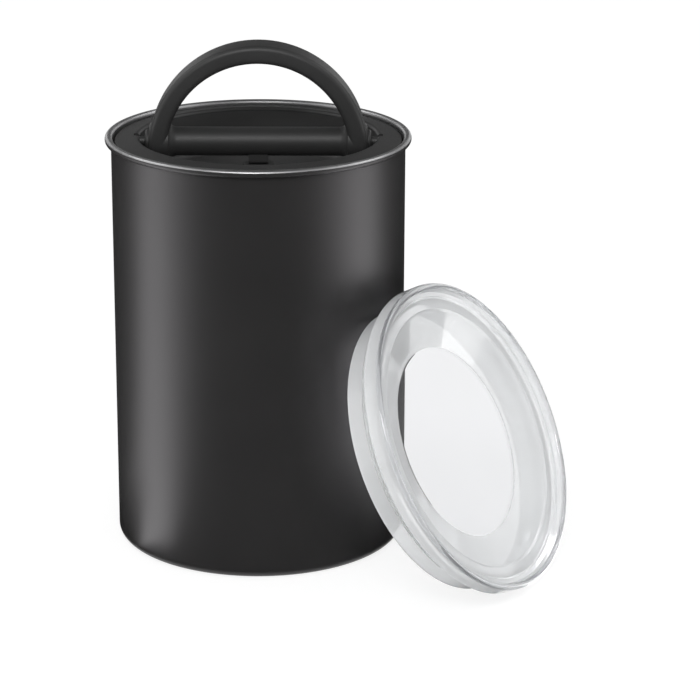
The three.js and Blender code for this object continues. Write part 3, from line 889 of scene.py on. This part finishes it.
def make_spring():
    """The valve spring: a helix of wire between the low and high ends of its part."""
    low, high = (corner.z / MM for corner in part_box("valve_spring"))
    rise = high - low - 2 * SPRING_WIRE_RADIUS
    vertices = []
    for step in range(SPRING_STEPS + 1):
        share = step / SPRING_STEPS
        angle = 2 * math.pi * SPRING_TURNS * share
        height = low + SPRING_WIRE_RADIUS + rise * share
        outward = Vector((math.cos(angle), math.sin(angle), 0))
        for side in range(SPRING_SIDES):
            turn = 2 * math.pi * side / SPRING_SIDES
            point = outward * (SPRING_RADIUS + SPRING_WIRE_RADIUS * math.cos(turn))
            vertices.append((point.x, point.y, height + SPRING_WIRE_RADIUS * math.sin(turn)))
    last_ring = SPRING_STEPS * SPRING_SIDES
    faces = [tuple(range(SPRING_SIDES)), tuple(range(last_ring, last_ring + SPRING_SIDES))]
    for step in range(SPRING_STEPS):
        for side in range(SPRING_SIDES):
            here = step * SPRING_SIDES
            there = here + SPRING_SIDES
            after = (side + 1) % SPRING_SIDES
            faces.append((here + side, here + after, there + after, there + side))
    spring = make_object("spring", vertices, faces)
    spring.data.materials.append(SPRING)
    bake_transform(spring)
    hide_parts("valve_spring")


def outer_lid_profile():
    """The outer lid: under its dish, down its plug, round its lip and rim, and in over its ledges."""
    lower_ledge_depth = UPPER_LEDGE_DEPTH + LEDGE_STEP
    slope_top_depth = lower_ledge_depth + LEDGE_STEP
    slope_top_radius = DISH_TOP_RADIUS - LEDGE_STEP
    lip_bore = OUTER_LID_RADIUS - LID_LIP_THICKNESS
    rim_inside = OUTER_LID_RADIUS - LID_RIM_WIDTH + LID_RIM_ROUND
    return [
        (0, -DISH_DEPTH - CLEAR_WALL),
        (DISH_FLOOR_RADIUS + CLEAR_WALL / 4, -DISH_DEPTH - CLEAR_WALL),
        (DISH_FLOOR_RADIUS + DISH_FILLET, -DISH_DEPTH - CLEAR_WALL / 2),
        (slope_top_radius + CLEAR_WALL / 2, -slope_top_depth - CLEAR_WALL),
        (PLUG_BORE, -lower_ledge_depth - CLEAR_WALL),
        *arc(PLUG_BORE + EDGE_ROUND, EDGE_ROUND - OUTER_LID_HEIGHT, EDGE_ROUND, 180, 270, EDGE_STEPS),
        *arc(PLUG_RADIUS - EDGE_ROUND, EDGE_ROUND - OUTER_LID_HEIGHT, EDGE_ROUND, -90, 0, EDGE_STEPS),
        (PLUG_RADIUS, -GROOVE_UNDER),
        (GROOVE_RADIUS, -GROOVE_UNDER),
        (GROOVE_RADIUS, -GROOVE_TOP),
        (PLUG_RADIUS, -GROOVE_TOP),
        (PLUG_RADIUS, -LID_SEAT_DEPTH),
        (lip_bore, -LID_SEAT_DEPTH),
        *arc(lip_bore + EDGE_ROUND, EDGE_ROUND - LID_LIP_DEPTH, EDGE_ROUND, 180, 270, EDGE_STEPS),
        *arc(OUTER_LID_RADIUS - EDGE_ROUND, EDGE_ROUND - LID_LIP_DEPTH, EDGE_ROUND, -90, 0, EDGE_STEPS),
        *arc(OUTER_LID_RADIUS - LID_RIM_ROUND, -LID_RIM_ROUND, LID_RIM_ROUND, 0, 90, FILLET_STEPS),
        *arc(rim_inside, -LID_RIM_ROUND, LID_RIM_ROUND, 90, 180, FILLET_STEPS),
        (UPPER_LEDGE_RADIUS, -UPPER_LEDGE_DEPTH),
        (LOWER_LEDGE_RADIUS + LEDGE_STEP, -UPPER_LEDGE_DEPTH),
        (LOWER_LEDGE_RADIUS, -lower_ledge_depth),
        (DISH_TOP_RADIUS, -lower_ledge_depth),
        (slope_top_radius, -slope_top_depth),
        (DISH_FLOOR_RADIUS + DISH_FILLET, -DISH_DEPTH + CLEAR_WALL / 2),
        (DISH_FLOOR_RADIUS, -DISH_DEPTH),
        (0, -DISH_DEPTH),
    ]


def gasket_profile():
    """The gasket: a flat back in the groove and two round ribs outside."""
    bore = GROOVE_RADIUS + SEAT_GAP
    outside = PLUG_RADIUS + GASKET_PROUD
    top = -GROOVE_TOP - SEAT_GAP
    under = SEAT_GAP - GROOVE_UNDER
    rib_radius = (top - under) / 4
    rib_centre = outside - rib_radius
    return [
        (bore, under),
        *arc(rib_centre, under + rib_radius, rib_radius, -90, 60, FILLET_STEPS),
        *arc(rib_centre, top - rib_radius, rib_radius, -60, 90, FILLET_STEPS),
        (bore, top),
    ]


def stand_off(profile, raise_angle, wall_radius):
    """How far the middle of the outer lid's rim is from the can's axis, with its back edge at the wall."""
    most = 0
    for radius, height in profile:
        for degree in range(360):
            turn = math.radians(degree)
            aside = LID_SHIFT + radius * math.sin(turn)
            behind = radius * math.cos(turn) * math.sin(raise_angle) - height * math.cos(raise_angle)
            most = max(most, math.sqrt(max(wall_radius**2 - aside**2, 0)) + behind)
    return most


def lean(profile):
    """The place of the outer lid: on the floor, facing along its slide and leaning on the can."""
    slide = next(joint for joint in frame["joints"] if joint["name"] == "outer_lid_slide")
    facing = Vector(slide["axis"]).normalized()
    raise_angle = math.asin(facing.z)
    bearing = math.atan2(facing.y, facing.x)
    lift = max(r * math.cos(raise_angle) - h * math.sin(raise_angle) for r, h in profile)
    away = stand_off(profile, raise_angle, CAN_RADIUS + RUNNING_GAP)
    turn = Matrix.Rotation(bearing, 4, "Z")
    tip = Matrix.Rotation(math.pi / 2 - raise_angle, 4, "Y")
    return turn @ Matrix.Translation((away, LID_SHIFT, lift)) @ tip


def is_milky(radius, height):
    """Whether the outer lid is milky there: all but the floor of its dish and its rim."""
    on_rim = radius > UPPER_LEDGE_RADIUS and height > -LID_RIM_ROUND
    return radius > DISH_FLOOR_RADIUS + CLEAR_WALL / 4 and not on_rim


def make_outer_lid():
    """The outer lid, clear in the floor of its dish and on its rim and milky elsewhere, and its gasket."""
    profile = outer_lid_profile()
    place = lean(profile)
    lid = lathe("clear_lid", profile, place)
    dress(lid, "outer_lid", "clear_plastic", CLEAR, "outer_lid")
    add_material(lid, MILKY, is_milky, place)
    gasket = lathe("gasket", gasket_profile(), place)
    dress(gasket, "outer_lid", "clear_silicone", GASKET, "lid_gasket")


# Stage


def grey_colour(value):
    """A plain grey, as shader sockets take it."""
    return (value, value, value, 1)


def seen_directly(tree):
    """1 for rays from the camera, and for reflected and transmitted ones, otherwise 0."""
    path = tree.nodes.new("ShaderNodeLightPath")
    total = path.outputs["Is Camera Ray"]
    for name in ("Is Glossy Ray", "Is Transmission Ray"):
        either = tree.nodes.new("ShaderNodeMath")
        either.operation = "MAXIMUM"
        tree.links.new(total, either.inputs[0])
        tree.links.new(path.outputs[name], either.inputs[1])
        total = either.outputs["Value"]
    return total


def make_world():
    """White where it is seen, and a plain grey-white light on everything else."""
    world = bpy.data.worlds.new("studio")
    world.use_nodes = True
    bpy.context.scene.world = world
    tree = world.node_tree
    light = tree.nodes["Background"]
    light.inputs["Color"].default_value = grey_colour(WORLD_LIGHT)
    white = tree.nodes.new("ShaderNodeBackground")
    white.inputs["Color"].default_value = grey_colour(1)
    mix = tree.nodes.new("ShaderNodeMixShader")
    tree.links.new(seen_directly(tree), mix.inputs["Fac"])
    tree.links.new(light.outputs["Background"], mix.inputs[1])
    tree.links.new(white.outputs["Background"], mix.inputs[2])
    tree.links.new(mix.outputs["Shader"], tree.nodes["World Output"].inputs["Surface"])


def floor_material():
    """White where it is seen, less the object's shadow, and plain white card to light that it bounces."""
    material, tree, shader = new_material("floor_white")
    shader.inputs["Base Color"].default_value = grey_colour(FLOOR_BOUNCE)
    shader.inputs["Roughness"].default_value = 1
    shader.inputs["Specular IOR Level"].default_value = 0
    shadowed = tree.nodes.new("ShaderNodeBsdfDiffuse")
    shadowed.inputs["Color"].default_value = grey_colour(FLOOR_SHADOWED)
    lift = tree.nodes.new("ShaderNodeEmission")
    lift.inputs["Color"].default_value = grey_colour(FLOOR_LIFT)
    seen = tree.nodes.new("ShaderNodeAddShader")
    mix = tree.nodes.new("ShaderNodeMixShader")
    tree.links.new(shadowed.outputs["BSDF"], seen.inputs[0])
    tree.links.new(lift.outputs["Emission"], seen.inputs[1])
    tree.links.new(seen_directly(tree), mix.inputs["Fac"])
    tree.links.new(shader.outputs["BSDF"], mix.inputs[1])
    tree.links.new(seen.outputs["Shader"], mix.inputs[2])
    tree.links.new(mix.outputs["Shader"], tree.nodes["Material Output"].inputs["Surface"])
    return material


def make_stage_piece(name, vertices, faces, material):
    """A mesh of the stage, from points in metres."""
    mesh = bpy.data.meshes.new(name)
    mesh.from_pydata(vertices, [], faces)
    mesh.materials.append(material)
    piece = bpy.data.objects.new(name, mesh)
    bpy.context.scene.collection.objects.link(piece)
    return piece


def make_floor():
    """A wide white floor."""
    reach = FLOOR_REACH
    corners = [(-reach, -reach, 0), (reach, -reach, 0), (reach, reach, 0), (-reach, reach, 0)]
    make_stage_piece("floor", corners, [(0, 1, 2, 3)], floor_material())


def flag_material(name, grey):
    """Matte card."""
    material, _, shader = new_material(name)
    shader.inputs["Base Color"].default_value = grey_colour(grey)
    shader.inputs["Roughness"].default_value = 1
    shader.inputs["Specular IOR Level"].default_value = 0
    return material


def shine_material(name, strength):
    """A card that gives its own white light."""
    material, tree, _ = new_material(name)
    shine = tree.nodes.new("ShaderNodeEmission")
    shine.inputs["Strength"].default_value = strength
    tree.links.new(shine.outputs["Emission"], tree.nodes["Material Output"].inputs["Surface"])
    return material


def make_card(name, material, bearings, outline, centre=(0, 0, 0)):
    """A card that curves round a centre, from (distance, height) points, and shows only in reflections."""
    start, end = bearings
    rows = len(outline)
    vertices = []
    for step in range(CARD_STEPS + 1):
        angle = math.radians(start + (end - start) * step / CARD_STEPS)
        outward = Vector((math.sin(angle), -math.cos(angle), 0))
        for distance, height in outline:
            vertices.append(Vector(centre) + outward * distance + Vector((0, 0, height)))
    faces = []
    for step in range(CARD_STEPS):
        for row in range(rows - 1):
            here = rows * step + row
            faces.append((here, here + rows, here + rows + 1, here + 1))
    card = make_stage_piece(name, vertices, faces, material)
    card.visible_camera = False
    card.visible_diffuse = False
    card.visible_transmission = False
    card.visible_shadow = False
    return card


def make_cards():
    """Dark cards round and above the can, and bright ones at its sides: low, high and towards the back.

    The low one on the right also shows in the clear lid, whose edges bend light from the floor there.
    """
    black = flag_material("flag_black", grey=0.02)
    grey = flag_material("flag_grey", grey=0.2)
    shine = shine_material("card_shine", strength=3.5)
    glow = shine_material("card_glow", strength=1.2)
    front_wall = [(FLAG_AWAY, CARD_LOW), (FLAG_AWAY, FRONT_FLAG_TOP)]
    back_wall = [(FLAG_AWAY, CARD_LOW), (FLAG_AWAY, BACK_FLAG_TOP)]
    make_card("front_foot_flag", grey, FRONT, [(CARD_FOOT, CARD_LOW), (FRONT_FOOT_END, CARD_LOW)])
    make_card("front_flag", black, FRONT, [(FRONT_FOOT_END, CARD_LOW), *front_wall])
    make_card("back_foot_flag", black, ALL_BUT_FRONT, [(CARD_FOOT, CARD_LOW), (BACK_FOOT_END, CARD_LOW)])
    make_card("back_floor_flag", black, BACK, [(BACK_FOOT_END, CARD_LOW), (FLAG_AWAY, CARD_LOW)])
    make_card("back_flag", grey, BACK, back_wall)
    roof = [(TOP_FLAG_BORE, TOP_FLAG_HEIGHT), (TOP_FLAG_RADIUS, TOP_FLAG_HEIGHT)]
    make_card("top_flag", black, ALL_ROUND, roof)
    shine_wall = [(SHINE_AWAY, SHINE_LOW), (SHINE_AWAY, SHINE_TOP)]
    right_outline = [(RIGHT_SHINE_START, SHINE_LOW), *shine_wall]
    beside_lid = make_card("right_shine", shine, RIGHT_LOW, right_outline, RIGHT_SHINE_CENTRE)
    beside_lid.visible_transmission = True
    left_outline = [(LEFT_SHINE_START, SHINE_LOW), *shine_wall]
    make_card("left_shine", shine, LEFT_LOW, left_outline, LEFT_SHINE_CENTRE)
    high_wall = [(HIGH_SHINE_AWAY, HIGH_SHINE_LOW), (HIGH_SHINE_AWAY, HIGH_SHINE_TOP)]
    make_card("right_high_shine", shine, RIGHT_HIGH, high_wall)
    make_card("left_high_shine", shine, LEFT_HIGH, high_wall)
    edge_wall = [(EDGE_CARD_AWAY, EDGE_CARD_LOW), (EDGE_CARD_AWAY, EDGE_CARD_TOP)]
    make_card("right_edge", glow, RIGHT_BEHIND, edge_wall)
    make_card("left_edge", glow, LEFT_BEHIND, edge_wall)


def make_key_light():
    """The only lamp: a wide one, in front of the can and above it."""
    light = bpy.data.lights.new("key", "AREA")
    light.shape = "RECTANGLE"
    light.size = KEY_WIDTH
    light.size_y = KEY_HEIGHT
    light.energy = KEY_POWER
    lamp = bpy.data.objects.new("key", light)
    lamp.location = KEY_PLACE
    lamp.rotation_mode = "QUATERNION"
    lamp.rotation_quaternion = (Vector(KEY_AIM) - Vector(KEY_PLACE)).to_track_quat("-Z", "Y")
    bpy.context.scene.collection.objects.link(lamp)


def make_camera():
    """The photograph's camera."""
    data = bpy.data.cameras.new("camera")
    data.lens = CAMERA_LENS
    data.sensor_width = CAMERA_SENSOR
    camera = bpy.data.objects.new("camera", data)
    across = CAMERA_AWAY * math.sin(CAMERA_ROUND)
    along = -CAMERA_AWAY * math.cos(CAMERA_ROUND)
    turn = Matrix.Rotation(CAMERA_ROUND - CAMERA_YAW, 4, "Z")
    tilt = Matrix.Rotation(math.pi / 2 - CAMERA_PITCH, 4, "X")
    roll = Matrix.Rotation(CAMERA_ROLL, 4, "Z")
    camera.matrix_world = Matrix.Translation((across, along, CAMERA_HEIGHT)) @ turn @ tilt @ roll
    bpy.context.scene.collection.objects.link(camera)
    bpy.context.scene.camera = camera


make_can()
make_lid_plate()
make_lid_base()
make_wiper()
make_handle()
make_valve()
make_spring()
make_outer_lid()
make_world()
make_floor()
make_cards()
make_key_light()
make_camera()
bpy.context.scene.view_settings.view_transform = "Standard"
